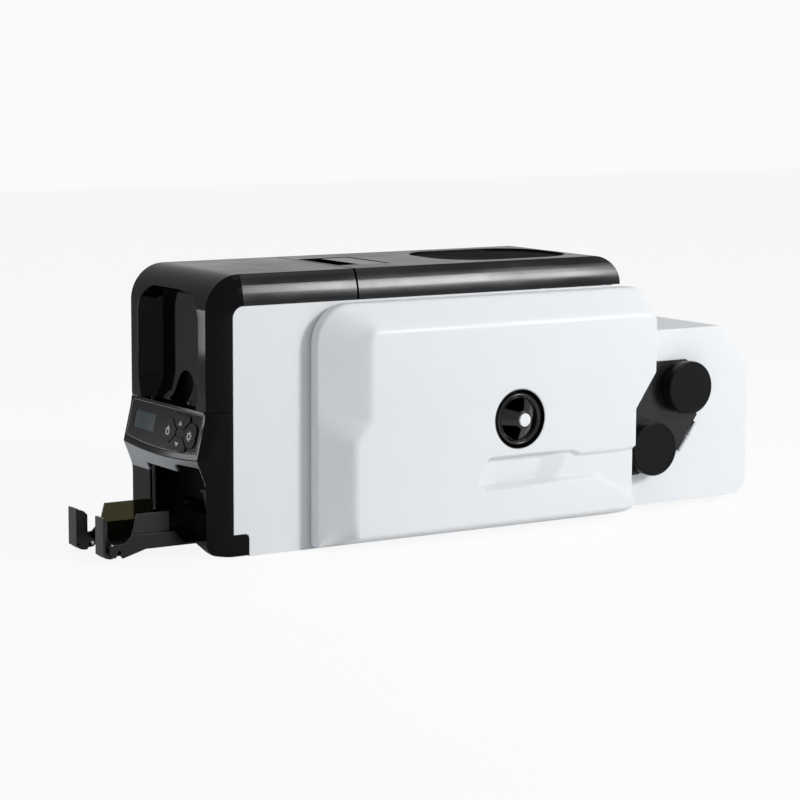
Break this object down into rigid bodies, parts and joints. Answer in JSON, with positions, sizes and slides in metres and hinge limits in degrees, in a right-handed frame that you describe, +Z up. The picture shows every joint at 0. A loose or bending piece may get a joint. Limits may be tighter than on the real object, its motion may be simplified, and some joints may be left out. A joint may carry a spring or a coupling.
{
  "type": "id card printer",
  "caption": "Retransfer card printer with a flip-up hopper cover, lifting rear top, bulged side door round a hand wheel, output tray and a docked laminating module.",
  "frame": {"origin": "middle of the part's box, on the table", "axes": "+Z up, +Y from the tray towards the laminating module, +X towards the side door"},
  "size_m": [0.2326, 0.798, 0.29],
  "materials": {
    "satin_black": "satin",
    "gloss_black": "gloss",
    "matte_black": "matte",
    "white_plastic": "satin",
    "panel_black": "satin",
    "lcd_glass": "gloss",
    "button_black": "satin",
    "dark_grey": "satin",
    "cap_white": "satin",
    "steel": "brushed",
    "sheet_steel": "satin",
    "foot_rubber": "matte",
    "roller_rubber": "matte",
    "nip_rubber": "satin",
    "board_green": "satin",
    "ribbon_film": "gloss",
    "motor_black": "satin",
    "head_metal": "satin",
    "port_metal": "bright"
  },
  "bodies": {
    "printer": {"base_plate": "sheet_steel", "feet": "foot_rubber", "side_panel_left": "white_plastic", "side_panel_right": "white_plastic", "lower_bezel": "satin_black", "front_bulkhead": "matte_black", "control_panel": "panel_black", "display": "lcd_glass", "button_hub": "button_black", "cover_hinge_pins": "steel", "card_hopper": "matte_black", "top_cover_front": "satin_black", "cover_hinge_ears": "steel", "rear_panel": "dark_grey", "power_inlet": "matte_black", "data_ports": "port_metal", "fan_frame": "matte_black", "mainboard": "board_green", "power_supply": "sheet_steel", "mech_frame_left": "sheet_steel", "mech_frame_right": "sheet_steel", "tie_rods": "steel", "feed_motor": "motor_black", "drive_belt": "foot_rubber", "wheel_well": "matte_black", "door_hinge_arms": "steel", "door_hinge_pins": "steel", "module_housing": "white_plastic", "module_frames": "sheet_steel", "spool_plate": "dark_grey", "output_tray": "satin_black"},
    "button_up": {"button_up": "button_black"},
    "button_down": {"button_down": "button_black"},
    "button_left": {"button_left": "button_black"},
    "button_right": {"button_right": "button_black"},
    "hopper_cover": {"hopper_cover": "gloss_black"},
    "pick_roller": {"pick_roller": "roller_rubber"},
    "top_cover_rear": {"top_cover_rear": "satin_black", "vent_grille": "matte_black"},
    "latch_paddle": {"latch_paddle": "gloss_black"},
    "power_switch": {"power_switch": "gloss_black"},
    "fan_rotor": {"fan_rotor": "matte_black"},
    "feed_roller_front": {"feed_roller_front": "roller_rubber"},
    "feed_roller_middle": {"feed_roller_middle": "roller_rubber", "hand_wheel": "gloss_black", "wheel_cap": "cap_white"},
    "feed_roller_rear": {"feed_roller_rear": "roller_rubber"},
    "motor_pulley": {"motor_pulley": "steel"},
    "print_head": {"print_head": "head_metal"},
    "ribbon_supply": {"ribbon_supply": "ribbon_film"},
    "ribbon_takeup": {"ribbon_takeup": "ribbon_film"},
    "side_door": {"side_door": "white_plastic", "door_ring": "gloss_black", "door_knuckles": "white_plastic"},
    "film_spool_upper": {"film_spool_upper": "dark_grey"},
    "film_spool_lower": {"film_spool_lower": "dark_grey"},
    "heat_roller": {"heat_roller": "nip_rubber"},
    "pressure_roller": {"pressure_roller": "nip_rubber"},
    "card_stop_left": {"card_stop_left": "dark_grey"},
    "card_stop_right": {"card_stop_right": "dark_grey"}
  },
  "joints": [
    {"name": "press_up", "type": "slide", "parent": "printer", "child": "button_up", "axis": [0, 0.9746, -0.2241], "range_m": [0, 0.001], "stiffness_N_per_m": 400},
    {"name": "press_down", "type": "slide", "parent": "printer", "child": "button_down", "axis": [0, 0.9746, -0.2241], "range_m": [0, 0.001], "stiffness_N_per_m": 400},
    {"name": "press_left", "type": "slide", "parent": "printer", "child": "button_left", "axis": [0, 0.9746, -0.2241], "range_m": [0, 0.001], "stiffness_N_per_m": 400},
    {"name": "press_right", "type": "slide", "parent": "printer", "child": "button_right", "axis": [0, 0.9746, -0.2241], "range_m": [0, 0.001], "stiffness_N_per_m": 400},
    {"name": "open_hopper_cover", "type": "hinge", "parent": "printer", "child": "hopper_cover", "pos_m": [-0.02475, -0.2665, 0.2866], "axis": [-1, 0, 0], "range_deg": [0, 75]},
    {"name": "open_rear_cover", "type": "hinge", "parent": "printer", "child": "top_cover_rear", "pos_m": [-0.02475, 0.208, 0.261], "axis": [-1, 0, 0], "range_deg": [0, 70]},
    {"name": "lift_latch", "type": "hinge", "parent": "top_cover_rear", "child": "latch_paddle", "pos_m": [-0.02475, -0.0635, 0.2855], "axis": [-1, 0, 0], "range_deg": [0, 30], "stiffness_Nm_per_rad": 0.05},
    {"name": "open_side_door", "type": "hinge", "parent": "printer", "child": "side_door", "pos_m": [0.07375, -0.181, 0.13], "axis": [0, 0, -1], "range_deg": [0, 90]},
    {"name": "rock_power_switch", "type": "hinge", "parent": "printer", "child": "power_switch", "pos_m": [-0.00275, 0.208, 0.23], "axis": [1, 0, 0], "range_deg": [0, 9]},
    {"name": "spin_fan", "type": "hinge", "parent": "printer", "child": "fan_rotor", "pos_m": [-0.06675, 0.205, 0.23], "axis": [0, 1, 0], "continuous": true},
    {"name": "spin_pick_roller", "type": "hinge", "parent": "printer", "child": "pick_roller", "pos_m": [-0.02475, -0.233, 0.142], "axis": [1, 0, 0], "continuous": true},
    {"name": "spin_middle_roller", "type": "hinge", "parent": "printer", "child": "feed_roller_middle", "pos_m": [-0.02475, 0.052, 0.1245], "axis": [1, 0, 0], "continuous": true},
    {"name": "spin_front_roller", "type": "hinge", "parent": "printer", "child": "feed_roller_front", "pos_m": [-0.02475, -0.063, 0.1245], "axis": [1, 0, 0], "continuous": true},
    {"name": "spin_rear_roller", "type": "hinge", "parent": "printer", "child": "feed_roller_rear", "pos_m": [-0.02475, 0.137, 0.1245], "axis": [1, 0, 0], "continuous": true},
    {"name": "spin_motor", "type": "hinge", "parent": "printer", "child": "motor_pulley", "pos_m": [-0.10475, -0.005, 0.0835], "axis": [1, 0, 0], "continuous": true},
    {"name": "lift_print_head", "type": "hinge", "parent": "printer", "child": "print_head", "pos_m": [-0.02475, 0.087, 0.1805], "axis": [-1, 0, 0], "range_deg": [0, 15], "stiffness_Nm_per_rad": 0.6},
    {"name": "spin_ribbon_supply", "type": "hinge", "parent": "printer", "child": "ribbon_supply", "pos_m": [-0.02475, -0.013, 0.2145], "axis": [1, 0, 0], "continuous": true},
    {"name": "spin_ribbon_takeup", "type": "hinge", "parent": "printer", "child": "ribbon_takeup", "pos_m": [-0.02475, 0.124, 0.2145], "axis": [1, 0, 0], "continuous": true},
    {"name": "turn_upper_film_knob", "type": "hinge", "parent": "printer", "child": "film_spool_upper", "pos_m": [0.06525, 0.301, 0.1385], "axis": [1, 0, 0], "continuous": true},
    {"name": "turn_lower_film_knob", "type": "hinge", "parent": "printer", "child": "film_spool_lower", "pos_m": [0.06525, 0.2515, 0.0725], "axis": [1, 0, 0], "continuous": true},
    {"name": "spin_heat_roller", "type": "hinge", "parent": "printer", "child": "heat_roller", "pos_m": [-0.02475, 0.355, 0.15], "axis": [1, 0, 0], "continuous": true},
    {"name": "spin_pressure_roller", "type": "hinge", "parent": "printer", "child": "pressure_roller", "pos_m": [-0.02475, 0.355, 0.1235], "axis": [1, 0, 0], "continuous": true},
    {"name": "tilt_left_stop", "type": "hinge", "parent": "printer", "child": "card_stop_left", "pos_m": [-0.05275, -0.381, 0.009], "axis": [1, 0, 0], "range_deg": [0, 12], "stiffness_Nm_per_rad": 0.08},
    {"name": "tilt_right_stop", "type": "hinge", "parent": "printer", "child": "card_stop_right", "pos_m": [0.00925, -0.381, 0.009], "axis": [1, 0, 0], "range_deg": [0, 12], "stiffness_Nm_per_rad": 0.08}
  ],
  "couplings": [
    {"joint": "spin_front_roller", "follows": "spin_middle_roller", "ratio": 1},
    {"joint": "spin_rear_roller", "follows": "spin_middle_roller", "ratio": 1},
    {"joint": "spin_motor", "follows": "spin_middle_roller", "ratio": 1},
    {"joint": "spin_pressure_roller", "follows": "spin_heat_roller", "ratio": -1}
  ]
}
